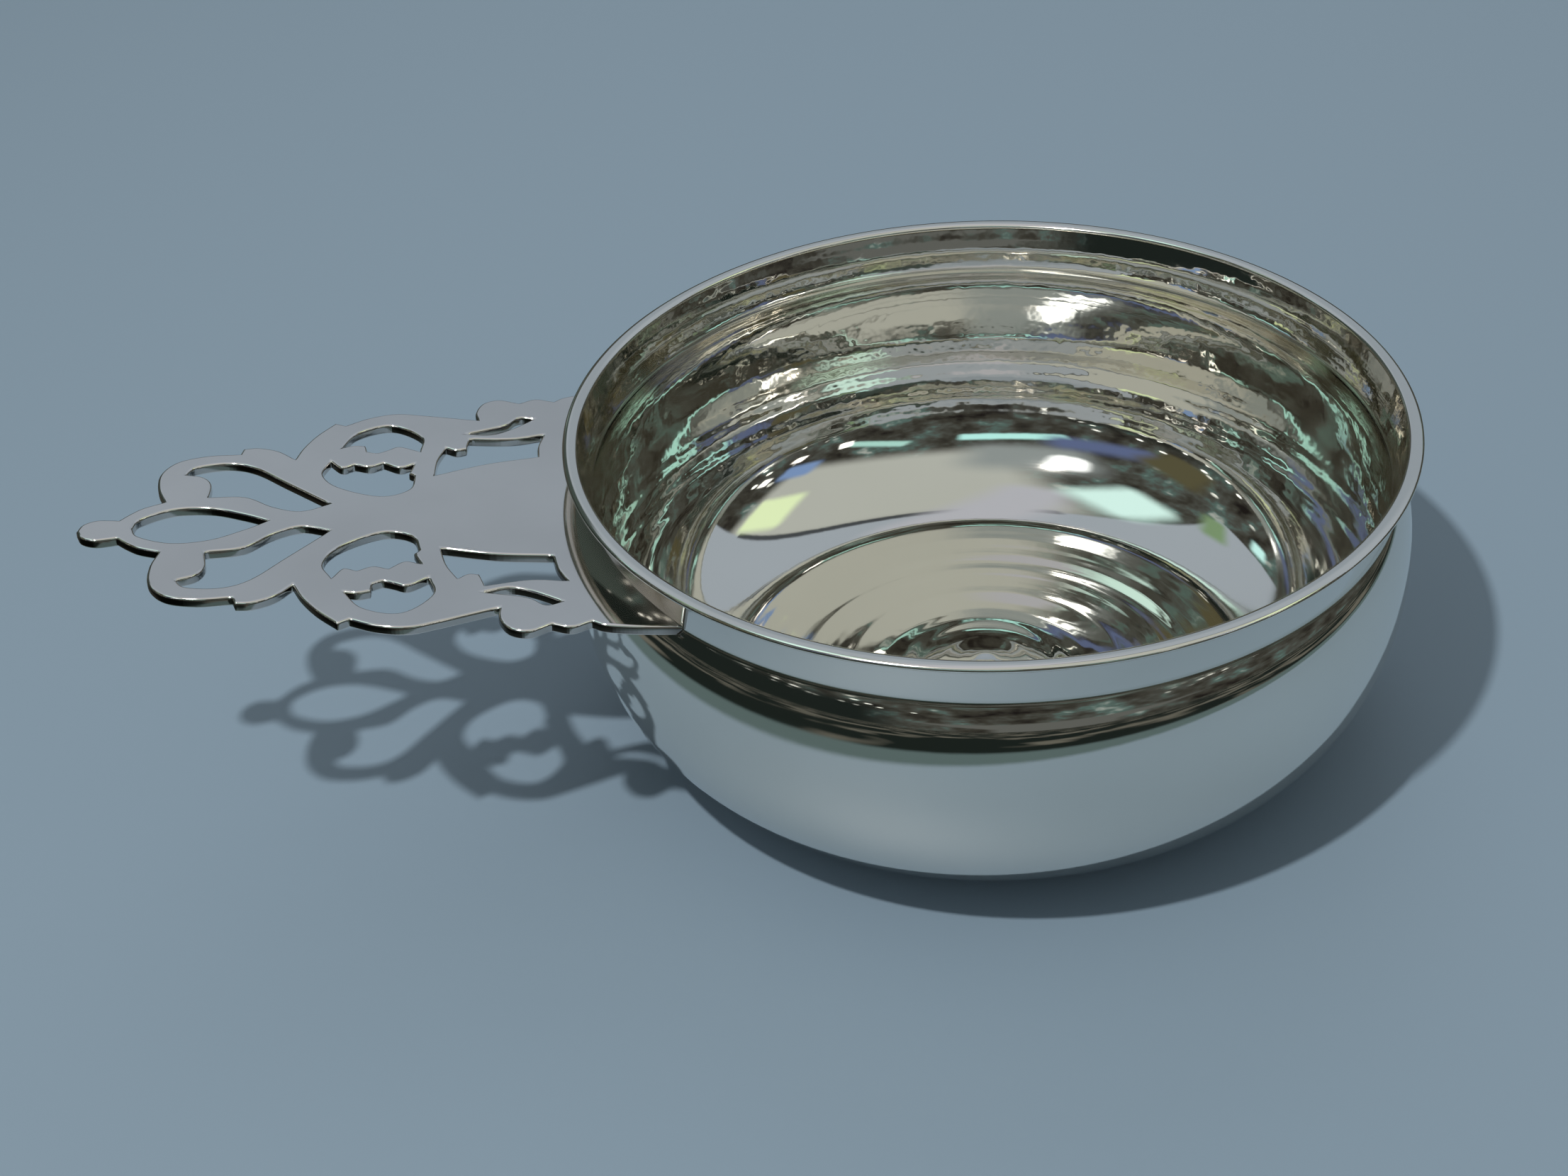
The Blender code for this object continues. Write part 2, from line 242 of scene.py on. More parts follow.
# Room
# What the polished silver mirrors: a lilac sheet behind, a cream ceiling, two window panes, thin light
# strips, small lamps and dark walls. Cards and lamps lie on a flat ceiling one unit above the bowl.
ROOM_CARDS = (
    # centre x and y, half sizes, turn in degrees, soft edge, colour
    ((0.55, -0.42), (0.72, 0.42), -8, 0.28, (0.471, 0.494, 0.461)),
    ((1.00, 1.25), (1.90, 1.20), -10, 0.04, (0.362, 0.414, 0.472)),
    ((1.30, 2.50), (1.20, 1.20), 0, 0.60, (0.290, 0.342, 0.397)),
    ((-1.65, 2.15), (1.10, 0.80), 0, 0.25, (0.050, 0.068, 0.062)),
    ((0.80, -15.0), (4.50, 7.00), 0, 1.50, (0.120, 0.126, 0.118)),
    ((0.58, 0.08), (0.70, 0.012), -10, 0.03, (0.062, 0.070, 0.078)),
    ((0.00, 0.14), (0.30, 0.05), 52, 0.14, (0.476, 0.494, 0.555)),
    ((-0.50, 0.05), (0.13, 0.11), 0, 0.15, (0.724, 1.021, 0.977)),
    ((-0.45, -0.66), (0.22, 0.10), -20, 0.30, (0.285, 0.325, 0.330)),
    ((-0.59, -0.52), (0.05, 0.03), 48, 0.13, (2.691, 2.795, 2.831)),
    ((1.10, -0.30), (0.20, 0.16), 0, 0.12, (0.807, 0.968, 0.599)),
    ((-0.90, 0.42), (0.10, 0.04), 20, 0.12, (0.207, 0.322, 0.178)),
    ((-1.18, 0.86), (0.05, 0.05), 0, 0.10, (0.621, 1.021, 0.999)),
    ((-0.55, -1.17), (0.40, 0.05), -12, 0.08, (0.517, 0.968, 0.932)),
    ((0.62, -1.42), (0.34, 0.03), -28, 0.08, (0.435, 0.752, 0.688)),
    ((1.30, -1.05), (0.16, 0.08), 0, 0.15, (0.207, 0.322, 0.577)),
    ((0.98, -1.60), (0.05, 0.10), 20, 0.05, (2.600, 2.600, 2.500)),
    ((1.55, -1.42), (0.06, 0.06), 0, 0.06, (2.400, 2.300, 2.200)),
    ((1.76, -0.92), (0.06, 0.05), 0, 0.06, (2.500, 2.500, 2.400)),
    ((-1.20, -0.75), (0.40, 0.05), -30, 0.25, (0.114, 0.150, 0.289)),
    ((-1.70, -0.25), (0.30, 0.20), 0, 0.25, (0.098, 0.091, 0.050)),
)
LEAST_RISE = 0.05
SPOT_COLOUR = (2.20, 2.25, 2.10, 1.0)
SPOT_SCALE = 2.2
SPOT_RADIUS = 0.08
SPOT_OUTER_RADIUS = 0.128
SPOT_NEAR = 1.5
SPOT_NEAR_SOFT = 0.2
SPOT_FAR = 3.2
SPOT_FAR_SOFT = 0.5
LEFT_START = -0.50
LEFT_FULL = -0.72
LEFT_LOW = 0.25
LEFT_HIGH = 0.45
CLUTTER_SCALE = 6.0
CLUTTER_DETAIL = 3.0
CLUTTER_ROUGHNESS = 0.6
WALL_COLOURS = (
    # place on the ramp, colour
    (0.30, (0.013, 0.011, 0.010)),
    (0.45, (0.046, 0.045, 0.037)),
    (0.55, (0.075, 0.081, 0.073)),
    (0.64, (0.094, 0.156, 0.144)),
    (0.72, (0.375, 0.413, 0.388)),
)


def lay_card(tree, behind, point, centre, half_size, turn, soft, colour):
    """The colour seen at a point of the ceiling once a card with soft edges lies on it."""
    turned = add_node(
        tree,
        "ShaderNodeVectorRotate",
        {"rotation_type": "Z_AXIS"},
        Vector=point,
        Center=(*centre, 0.0),
        Angle=math.radians(-turn),
    )
    from_centre = calculate_vector(tree, "SUBTRACT", turned.outputs["Vector"], (*centre, 0.0))
    one_corner = calculate_vector(tree, "ABSOLUTE", from_centre)
    past_edge = calculate_vector(tree, "SUBTRACT", one_corner, (*half_size, 0.0))
    outside = calculate_vector(tree, "MAXIMUM", past_edge, (0.0, 0.0, 0.0))
    away = calculate_vector(tree, "LENGTH", outside)
    cover = change_over(tree, away, 0.0, soft, 1.0, 0.0)
    return blend_colours(tree, cover, behind, (*colour, 1.0))


room = bpy.data.worlds.new("room")
room.use_nodes = True
bpy.context.scene.world = room
tree = room.node_tree
tree.nodes.clear()
heading = add_node(tree, "ShaderNodeTexCoord").outputs["Generated"]
heading_parts = add_node(tree, "ShaderNodeSeparateXYZ", Vector=heading).outputs
rise = calculate(tree, "MAXIMUM", heading_parts["Z"], LEAST_RISE)
flat_heading = add_node(
    tree, "ShaderNodeCombineXYZ", X=heading_parts["X"], Y=heading_parts["Y"]
)
on_ceiling = calculate_vector(tree, "DIVIDE", flat_heading.outputs["Vector"], rise)
clutter = add_node(
    tree,
    "ShaderNodeTexNoise",
    Vector=heading,
    Scale=CLUTTER_SCALE,
    Detail=CLUTTER_DETAIL,
    Roughness=CLUTTER_ROUGHNESS,
)
walls = add_node(tree, "ShaderNodeValToRGB", Fac=clutter.outputs["Fac"])
shades = walls.color_ramp.elements
shades[1].position = WALL_COLOURS[-1][0]
for position, _ in WALL_COLOURS[1:-1]:
    shades.new(position)
for shade, (position, colour) in zip(shades, WALL_COLOURS):
    shade.position = position
    shade.color = (*colour, 1.0)
to_left = change_over(tree, heading_parts["X"], LEFT_FULL, LEFT_START, 1.0, 0.0)
low_left = change_over(tree, heading_parts["Z"], LEFT_LOW, LEFT_HIGH, to_left, 0.0)
shaded_walls = blend_colours(tree, low_left, walls.outputs["Color"], ROOM_DARK)
ceiling_parts = add_node(tree, "ShaderNodeSeparateXYZ", Vector=on_ceiling)
sideways = calculate(tree, "ABSOLUTE", ceiling_parts.outputs["X"])
to_side = change_over(tree, sideways, SPOT_NEAR, SPOT_NEAR + SPOT_NEAR_SOFT, curve="LINEAR")
spread = calculate_vector(tree, "LENGTH", on_ceiling)
in_reach = change_over(
    tree, spread, SPOT_FAR, SPOT_FAR + SPOT_FAR_SOFT, to_side, 0.0, curve="LINEAR"
)
spots = add_node(
    tree, "ShaderNodeTexVoronoi", {"voronoi_dimensions": "2D"}, Vector=on_ceiling, Scale=SPOT_SCALE
)
on_spot = change_over(
    tree, spots.outputs["Distance"], SPOT_RADIUS, SPOT_OUTER_RADIUS, 1.0, 0.0, curve="LINEAR"
)
lit_spot = calculate(tree, "MULTIPLY", on_spot, in_reach)
seen = blend_colours(tree, lit_spot, shaded_walls, SPOT_COLOUR)
for card in ROOM_CARDS:
    seen = lay_card(tree, seen, on_ceiling, *card)
seen_by = add_node(tree, "ShaderNodeLightPath").outputs
glossy = add_node(tree, "ShaderNodeBackground", Color=seen).outputs["Background"]
soft = add_node(tree, "ShaderNodeBackground", Color=ROOM_SOFT).outputs["Background"]
backdrop = add_node(tree, "ShaderNodeBackground", Color=BACKDROP).outputs["Background"]
soft_or_glossy = blend_shaders(tree, seen_by["Is Glossy Ray"], soft, glossy)
all_rays = blend_shaders(tree, seen_by["Is Camera Ray"], soft_or_glossy, backdrop)
add_node(tree, "ShaderNodeOutputWorld", Surface=all_rays)

# Bowl
# Spun in one piece from a disc of silver sheet: a domed bottom inside a flat foot ring, a full
# belly, a sharp crease at the neck and a short collar that flares to the rim.
BOWL_HEIGHT = 0.0494
RIM_RADIUS = 0.060
WALL = 0.0009
COLLAR_DEPTH = 0.00755
NECK_RADIUS = 0.0574
BELLY_RADIUS = 0.0603
BELLY_DEPTH = 0.0205
FOOT_RADIUS = 0.033
FOOT_WIDTH = 0.0024
DOME_HEIGHT = 0.0035
SHOULDER_ANGLE = math.radians(36)
WIRE_WIDTH = 0.0021
WIRE_HEIGHT = 0.0011
SEAM = 0.00002
NECK_Z = BOWL_HEIGHT - COLLAR_DEPTH
BELLY_Z = BOWL_HEIGHT - BELLY_DEPTH
COLLAR_TOP = (RIM_RADIUS - WIRE_WIDTH + WALL, BOWL_HEIGHT - WIRE_HEIGHT - SEAM)
# Where the handles of the curves lie, as shares of the piece that each curve spans.
COLLAR_TOP_PULL = (0.5, 0.3)
COLLAR_FOOT_PULL = (0.1, 0.3)
SHOULDER_PULL = 0.8
BELLY_UP_PULL = 0.4
BELLY_LOW_SHARE = 0.48
FOOT_PULL = 0.62
DOME_FOOT_SHARE = 0.64
DOME_TOP_SHARE = 0.36
COLLAR_STEPS = 14
SHOULDER_STEPS = 26
BELLY_STEPS = 44
DOME_STEPS = 28
BOWL_STEPS = 256
SHARP_ANGLE = math.radians(50)
SAME_POINT = 1e-7
# Depths of the marks and dents, and where they begin and end.
FLOOR_MARKS = 0.000320
WALL_MARKS = 0.000130
WALL_DENTS = 0.000040
OUTER_DENTS = 0.000005
FLOOR_MARKS_END = FOOT_RADIUS + 0.002
FLOOR_SMOOTH = FOOT_RADIUS + 0.009
WALL_FOOT = 0.0125
WALL_FULL = 0.0175
NECK_STAIN_REACH = 0.0008
NECK_STAIN = 0.5
# Scales of the patterns in the silver and what they add to its roughness and colour.
MARK_SCALE = 240.0
MARK_DETAIL = 0.6
DENT_SCALE = 300.0
DENT_DETAIL = 2.0
HAIR_SCALE = 6000.0
HAIR_DETAIL = 2.0
HAIR_DULLING = 0.03
SMEAR_SCALE = 38.0
SMEAR_DETAIL = 4.0
SMEAR_START = 0.52
SMEAR_FULL = 0.80
SMEAR_DULLING = 0.06
TARNISH_DULLING = 0.18
CLOUD_START = 0.35
CLOUD_FULL = 0.75
CLOUD_LEAST = 0.04
CLOUD_MOST = 0.16


def bezier(start, start_handle, end_handle, end, steps):
    """Points of one cubic curve, without its first point."""
    points = []
    for step in range(1, steps + 1):
        t = step / steps
        weights = ((1 - t) ** 3, 3 * (1 - t) ** 2 * t, 3 * (1 - t) * t**2, t**3)
        corners = (start, start_handle, end_handle, end)
        points.append(tuple(sum(w * c[i] for w, c in zip(weights, corners)) for i in (0, 1)))
    return points


def wall_profile(grow=0.0):
    """Outer side of the bowl, (radius, height) from the top of the collar to the foot."""
    crease = (NECK_RADIUS, NECK_Z)
    widest = (BELLY_RADIUS, BELLY_Z)
    foot = (FOOT_RADIUS + FOOT_WIDTH / 2, 0.0)
    rise = COLLAR_TOP[1] - NECK_Z
    lean = COLLAR_TOP[0] - NECK_RADIUS
    out = SHOULDER_PULL * (BELLY_RADIUS - NECK_RADIUS)
    points = [COLLAR_TOP]
    points += bezier(
        COLLAR_TOP,
        (COLLAR_TOP[0] - COLLAR_TOP_PULL[0] * lean, COLLAR_TOP[1] - COLLAR_TOP_PULL[1] * rise),
        (crease[0] + COLLAR_FOOT_PULL[0] * lean, crease[1] + COLLAR_FOOT_PULL[1] * rise),
        crease,
        COLLAR_STEPS,
    )
    points += bezier(
        crease,
        (crease[0] + out, crease[1] - out / math.tan(SHOULDER_ANGLE)),
        (widest[0], widest[1] + BELLY_UP_PULL * (NECK_Z - BELLY_Z)),
        widest,
        SHOULDER_STEPS,
    )
    points += bezier(
        widest,
        (widest[0], BELLY_LOW_SHARE * BELLY_Z),
        (foot[0] + FOOT_PULL * (BELLY_RADIUS - foot[0]), 0.0),
        foot,
        BELLY_STEPS,
    )
    return [(radius + grow, height) for radius, height in points]


def outer_profile():
    """Outer side of the whole bowl, from the top of the collar to the top of the dome."""
    inside = FOOT_RADIUS - FOOT_WIDTH / 2
    dome = bezier(
        (inside, 0.0),
        (DOME_FOOT_SHARE * inside, 0.0),
        (DOME_TOP_SHARE * inside, DOME_HEIGHT),
        (0.0, DOME_HEIGHT),
        DOME_STEPS,
    )
    return wall_profile() + [(FOOT_RADIUS, 0.0), (inside, 0.0)] + dome


def inner_profile():
    """Inner side of the bowl, a sheet's thickness inside the outer one, from axis to collar."""
    outer = outer_profile()
    points = []
    for i, (radius, height) in enumerate(outer):
        before = outer[max(i - 1, 0)]
        after = outer[min(i + 1, len(outer) - 1)]
        along = Vector((after[0] - before[0], after[1] - before[1])).normalized()
        points.append((max(radius + along.y * WALL, 0.0), height - along.x * WALL))
    points[-1] = (0.0, DOME_HEIGHT + WALL)
    return points[::-1]


def clean_up(work, same_point):
    """Merges the doubles of a mesh at work and points its faces outwards."""
    bmesh.ops.remove_doubles(work, verts=work.verts, dist=same_point)
    bmesh.ops.recalc_face_normals(work, faces=work.faces)


def turned_mesh(name, profile):
    """A closed mesh of a profile turned round the upright axis."""
    work = bmesh.new()
    rows = [work.verts.new((radius, 0.0, height)) for radius, height in profile]
    chain = [work.edges.new(pair) for pair in zip(rows, rows[1:])]
    bmesh.ops.spin(
        work,
        geom=rows + chain,
        axis=(0.0, 0.0, 1.0),
        cent=(0.0, 0.0, 0.0),
        angle=2 * math.pi,
        steps=BOWL_STEPS,
        use_merge=True,
    )
    clean_up(work, SAME_POINT)
    mesh = bpy.data.meshes.new(name)
    work.to_mesh(mesh)
    work.free()
    mesh.transform(Matrix.Translation((BOWL_X, 0.0, 0.0)))
    mesh.shade_smooth()
    mesh.set_sharp_from_angle(angle=SHARP_ANGLE)
    return mesh


bowl_line = outer_profile()[::-1] + inner_profile()[::-1]
bowl_mesh = turned_mesh("bowl_spun", bowl_line + [bowl_line[0]])
bowl = bpy.data.objects.new("bowl_spun", bowl_mesh)
bpy.context.scene.collection.objects.link(bowl)


def add_sockets(tree, in_out, sockets):
    """Named inputs or outputs of a node group."""
    for name, kind in sockets:
        tree.interface.new_socket(name, in_out=in_out, socket_type="NodeSocket" + kind)


silver_tree = bpy.data.node_groups.new("worn_silver", "ShaderNodeTree")
add_sockets(
    silver_tree,
    "INPUT",
    (
        ("Place", "Vector"),
        ("Across Marks", "Float"),
        ("Ripple", "Float"),
        ("Wobble", "Float"),
        ("Polish", "Float"),
        ("Silver", "Color"),
        ("Tarnish", "Color"),
        ("Tarnished", "Float"),
    ),
)
add_sockets(
    silver_tree, "OUTPUT", (("Color", "Color"), ("Roughness", "Float"), ("Height", "Float"))
)
given = silver_tree.nodes.new("NodeGroupInput").outputs
marks = add_node(
    silver_tree,
    "ShaderNodeTexNoise",
    {"noise_dimensions": "1D"},
    W=given["Across Marks"],
    Scale=MARK_SCALE,
    Detail=MARK_DETAIL,
)
hairs = add_node(
    silver_tree,
    "ShaderNodeTexNoise",
    {"noise_dimensions": "1D"},
    W=given["Across Marks"],
    Scale=HAIR_SCALE,
    Detail=HAIR_DETAIL,
)
dents = add_node(
    silver_tree, "ShaderNodeTexNoise", Vector=given["Place"], Scale=DENT_SCALE, Detail=DENT_DETAIL
)
smears = add_node(
    silver_tree, "ShaderNodeTexNoise", Vector=given["Place"], Scale=SMEAR_SCALE, Detail=SMEAR_DETAIL
)
smear = smears.outputs["Fac"]
mark_height = calculate(silver_tree, "MULTIPLY", marks.outputs["Fac"], given["Ripple"])
height = calculate(silver_tree, "MULTIPLY_ADD", dents.outputs["Fac"], given["Wobble"], mark_height)
hair_dull = calculate(
    silver_tree, "MULTIPLY_ADD", hairs.outputs["Fac"], HAIR_DULLING, given["Polish"]
)
smear_dull = change_over(
    silver_tree, smear, SMEAR_START, SMEAR_FULL, 0.0, SMEAR_DULLING, curve="LINEAR"
)
tarnish_dull = calculate(
    silver_tree, "MULTIPLY_ADD", given["Tarnished"], TARNISH_DULLING, smear_dull
)
dull = calculate(silver_tree, "ADD", hair_dull, tarnish_dull)
cloud = change_over(
    silver_tree, smear, CLOUD_START, CLOUD_FULL, CLOUD_LEAST, CLOUD_MOST, curve="LINEAR"
)
# The colour turns towards the dark colour with random clouds and the tarnish share; on the handle's
# walls facing the tip that share is also painted dark reflection.
stain_and_shade = add_node(
    silver_tree,
    "ShaderNodeMath",
    {"operation": "ADD", "use_clamp": True},
    i0=cloud,
    i1=given["Tarnished"],
)
tint = blend_colours(silver_tree, stain_and_shade.outputs["Value"], given["Silver"], given["Tarnish"])
add_node(silver_tree, "NodeGroupOutput", Color=tint, Roughness=dull, Height=height)


def silver_material(name, wear, **linked):
    """Worn silver with these constant inputs, and others that nodes work out from the place,
    which is measured from the bowl's axis."""
    material, tree = new_material(name)
    coords = add_node(tree, "ShaderNodeTexCoord")
    place = calculate_vector(tree, "SUBTRACT", coords.outputs["Object"], (BOWL_X, 0.0, 0.0))
    worked_out = {socket: make(tree, place) for socket, make in linked.items()}
    worn = add_node(
        tree, "ShaderNodeGroup", {"node_tree": silver_tree}, Place=place, **wear, **worked_out
    )
    bump = add_node(
        tree, "ShaderNodeBump", Strength=1.0, Distance=1.0, Height=worn.outputs["Height"]
    )
    metal = add_node(
        tree,
        "ShaderNodeBsdfPrincipled",
        Base_Color=worn.outputs["Color"],
        Roughness=worn.outputs["Roughness"],
        Metallic=1.0,
        Normal=bump.outputs["Normal"],
    )
    add_node(tree, "ShaderNodeOutputMaterial", Surface=metal.outputs["BSDF"])
    return material


def split_up(tree, place):
    """The x, y and z of a place."""
    return add_node(tree, "ShaderNodeSeparateXYZ", Vector=place).outputs


def axis_distance(tree, place):
    """Distance of a place from the bowl's axis."""
    parts = split_up(tree, place)
    flat = add_node(tree, "ShaderNodeCombineXYZ", X=parts["X"], Y=parts["Y"])
    return calculate_vector(tree, "LENGTH", flat.outputs["Vector"])


def round_marks(tree, place):
    """Grows without a break from the middle of the floor to the rim."""
    return calculate(tree, "ADD", axis_distance(tree, place), split_up(tree, place)["Z"])


def near_height(tree, place, height, reach, amount):
    """Strongest at a height, gone a reach above and below it."""
    above = calculate(tree, "SUBTRACT", split_up(tree, place)["Z"], height)
    gap = calculate(tree, "ABSOLUTE", above)
    return change_over(tree, gap, 0.0, reach, amount, 0.0)


def on_wall(tree, place, amount):
    """Nothing on the floor, the full amount on the wall."""
    return change_over(tree, split_up(tree, place)["Z"], WALL_FOOT, WALL_FULL, 0.0, amount)


def on_inside(tree):
    """1 on the inner side of the bowl, 0 on the outer side."""
    return add_node(tree, "ShaderNodeAttribute", {"attribute_name": "inside"}).outputs["Fac"]


def inside_ripple(tree, place):
    """Turning marks of the floor and the inner wall. The curve between them and the outer side
    were polished smooth."""
    radius = axis_distance(tree, place)
    floor = change_over(tree, radius, FLOOR_MARKS_END, FLOOR_SMOOTH, FLOOR_MARKS, 0.0)
    both = calculate(tree, "ADD", floor, on_wall(tree, place, WALL_MARKS))
    return calculate(tree, "MULTIPLY", both, on_inside(tree))


def inside_dents(tree, place):
    """Small dents of spoons on the inner wall, hardly any elsewhere."""
    wall = on_wall(tree, place, WALL_DENTS)
    return calculate(tree, "MULTIPLY_ADD", wall, on_inside(tree), OUTER_DENTS)


inside = bowl_mesh.attributes.new("inside", "FLOAT", "POINT")
for vertex, share in zip(bowl_mesh.vertices, inside.data):
    outward = Vector((vertex.co.x - BOWL_X, vertex.co.y, 0.0)).normalized()
    share.value = 1.0 if vertex.normal.z > vertex.normal.dot(outward) else 0.0
bowl_material = silver_material(
    "bowl_polished_silver",
    {
        "Polish": 0.02,
        "Silver": (0.895, 0.875, 0.825, 1.0),
        "Tarnish": (0.62, 0.60, 0.52, 1.0),
    },
    Ripple=inside_ripple,
    Wobble=inside_dents,
    Across_Marks=round_marks,
    Tarnished=lambda tree, place: near_height(tree, place, NECK_Z, NECK_STAIN_REACH, NECK_STAIN),
)
bowl_mesh.materials.append(bowl_material)
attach(bowl, "root")
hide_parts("bowl")

# Rim wire
# An oval silver wire bent to a ring and soldered round the edge of the collar.
# It stiffens the rim, and its outer edge overhangs the collar a little.
WIRE_SIDES = 32
WIRE_STAIN_REACH = 0.0004
WIRE_STAIN = 0.25
wire_tree = bpy.data.node_groups.new("rim_wire_ring", "GeometryNodeTree")
add_sockets(
    wire_tree,
    "INPUT",
    (
        ("Ring Radius", "Float"),
        ("Half Width", "Float"),
        ("Half Height", "Float"),
        ("Lift", "Float"),
        ("Finish", "Material"),
    ),
)
add_sockets(wire_tree, "OUTPUT", (("Geometry", "Geometry"),))
given = wire_tree.nodes.new("NodeGroupInput").outputs
ring = add_node(
    wire_tree,
    "GeometryNodeCurvePrimitiveCircle",
    Resolution=BOWL_STEPS,
    Radius=given["Ring Radius"],
)
section = add_node(
    wire_tree, "GeometryNodeCurvePrimitiveCircle", Resolution=WIRE_SIDES, Radius=1.0
)
oval = add_node(
    wire_tree, "ShaderNodeCombineXYZ", X=given["Half Width"], Y=given["Half Height"], Z=1.0
)
squeezed = add_node(
    wire_tree,
    "GeometryNodeTransform",
    Geometry=section.outputs["Curve"],
    Scale=oval.outputs["Vector"],
)
swept = add_node(
    wire_tree,
    "GeometryNodeCurveToMesh",
    Curve=ring.outputs["Curve"],
    Profile_Curve=squeezed.outputs["Geometry"],
)
up = add_node(wire_tree, "ShaderNodeCombineXYZ", X=BOWL_X, Z=given["Lift"])
lifted = add_node(
    wire_tree,
    "GeometryNodeTransform",
    Geometry=swept.outputs["Mesh"],
    Translation=up.outputs["Vector"],
)


def finish_tree(tree, made, finish):
    """Ends a tree of geometry nodes with a plain mesh in its material."""
    real = add_node(tree, "GeometryNodeRealizeInstances", Geometry=made)
    finished = add_node(
        tree, "GeometryNodeSetMaterial", Geometry=real.outputs["Geometry"], Material=finish
    )
    add_node(tree, "NodeGroupOutput", Geometry=finished.outputs["Geometry"])


finish_tree(wire_tree, lifted.outputs["Geometry"], given["Finish"])


def made_by_nodes(name, tree, values, start=None):
    """A plain mesh object of what a tree of geometry nodes makes with these values."""
    guide = start or bpy.data.objects.new(name + "_guide", bpy.data.meshes.new(name + "_guide"))
    bpy.context.scene.collection.objects.link(guide)
    nodes = guide.modifiers.new("shape", "NODES")
    nodes.node_group = tree
    for item in tree.interface.items_tree:
        if item.in_out == "INPUT" and item.name in values:
            nodes[item.identifier] = values[item.name]
    graph = bpy.context.evaluated_depsgraph_get()
    mesh = bpy.data.meshes.new_from_object(guide.evaluated_get(graph), depsgraph=graph)
    mesh.name = name
    bpy.data.objects.remove(guide, do_unlink=True)
    work = bmesh.new()
    work.from_mesh(mesh)
    clean_up(work, SAME_POINT)
    work.to_mesh(mesh)
    work.free()
    mesh.shade_smooth()
    made = bpy.data.objects.new(name, mesh)
    bpy.context.scene.collection.objects.link(made)
    return made


wire_material = silver_material(
    "rim_polished_silver",
    {
        "Ripple": 0.0,
        "Wobble": 0.000005,
        "Polish": 0.08,
        "Silver": (0.94, 0.91, 0.85, 1.0),
        "Tarnish": (0.60, 0.55, 0.46, 1.0),
    },
    Across_Marks=round_marks,
    Tarnished=lambda tree, place: near_height(
        tree, place, BOWL_HEIGHT - WIRE_HEIGHT, WIRE_STAIN_REACH, WIRE_STAIN
    ),
)
rim_wire = made_by_nodes(
    "rim_ring",
    wire_tree,
    {
        "Ring Radius": RIM_RADIUS - WIRE_WIDTH / 2,
        "Half Width": WIRE_WIDTH / 2,
        "Half Height": WIRE_HEIGHT / 2,
        "Lift": BOWL_HEIGHT - WIRE_HEIGHT / 2,
        "Finish": wire_material,
    },
)
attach(rim_wire, "root")
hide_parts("rim_wire")

# Handle plate
# Sawn from flat silver sheet: a bud at the tip, scrolls and eyes behind it, lobes at the root.
# Its edges are filed round, and its root is cut to the neck of the bowl and soldered there.
PLATE_THICKNESS = 0.0015
HANDLE_TILT = math.radians(5.8)
FILED_EDGE = 0.00040
FILED_STEPS = 4
SAME_CORNER = 1e-6
# A face is flat or sawn by how far its direction agrees with the plate's. The sawn walls get some
# oxide, and the more they face the tip, the more dark colour on top of it: a painted dark reflection.
FLAT_LEAN = 0.999
SAWN_LEAN = 0.2
WALL_OXIDE = 0.30
WALL_OXIDE_AND_SHADE = 0.95
TIPWARD_LEAST = 0.08
TIPWARD_MOST = 0.28
# The plate turns darker from the neck to a little way out.
ROOT_DARKENING_END = NECK_RADIUS + 0.003
ROOT_DARKENING = 0.3
# Points of the drawing in mm: along from the neck to the tip, across from the centre line. Each
# run is one smooth line, and runs meet at corners.
SQUARE = 0.001
RUN_STEPS = 8
STRAIGHT_STEPS = 4
ROOT_IN_BOWL = 7
OUTLINE_RUNS = [
    [(69.0, 0.0), (68.3, 1.6), (66.6, 2.5), (64.8, 2.4), (63.6, 2.2)],
    [(63.6, 2.2), (62.3, 3.6), (60.6, 5.0), (57.9, 6.2)],
    [(57.9, 6.2), (58.9, 9.6), (58.8, 13.6), (56.6, 16.7), (52.5, 18.0), (48.0, 18.0)],
    [(48.0, 18.0), (47.6, 19.4)],
    [(47.6, 19.4), (45.4, 19.5), (42.6, 18.3), (40.3, 15.9)],
    [(40.3, 15.9), (39.2, 18.8), (37.3, 22.1), (34.6, 25.4)],
    [(34.6, 25.4), (33.1, 24.6)],
    [(33.1, 24.6), (29.8, 26.4), (25.8, 27.3), (21.6, 26.4), (13.9, 24.2)],
    [(13.9, 24.2), (14.1, 26.4), (12.9, 29.0), (10.4, 29.9), (7.5, 28.6)],
    [(7.5, 28.6), (5.0, 29.6), (2.3, 28.6)],
    [(2.3, 28.6), (0.6, 29.7), (-3.4, 30.6), (-9.0, 31.3)],
]
BUD_RUNS = [
    [(61.7, 0.0), (60.7, 2.1), (56.5, 4.1), (51.5, 3.9), (47.0, 1.9), (43.8, 0.0)],
]
COMMA_RUNS = [
    [(55.3, 13.2), (53.9, 14.9), (49.5, 15.5), (45.8, 14.0), (41.4, 9.5), (35.5, 3.4)],
    [(35.5, 3.4), (39.3, 2.0), (43.0, 3.4), (46.9, 6.4), (51.9, 6.9)],
    [(51.9, 6.9), (51.7, 10.3), (52.9, 12.3), (55.3, 13.2)],
]
INNER_EYE_RUNS = [
    [(35.3, 14.8), (36.4, 11.4), (34.3, 7.7), (28.6, 4.7), (24.6, 6.0), (23.7, 9.6)],
    [(23.7, 9.6), (24.4, 10.3)],
    [(24.4, 10.3), (23.6, 12.8)],
    [(23.6, 12.8), (25.7, 12.0), (27.9, 13.5)],
    [(27.9, 13.5), (29.9, 12.7), (32.0, 13.5)],
    [(32.0, 13.5), (33.8, 12.8), (35.3, 14.8)],
]
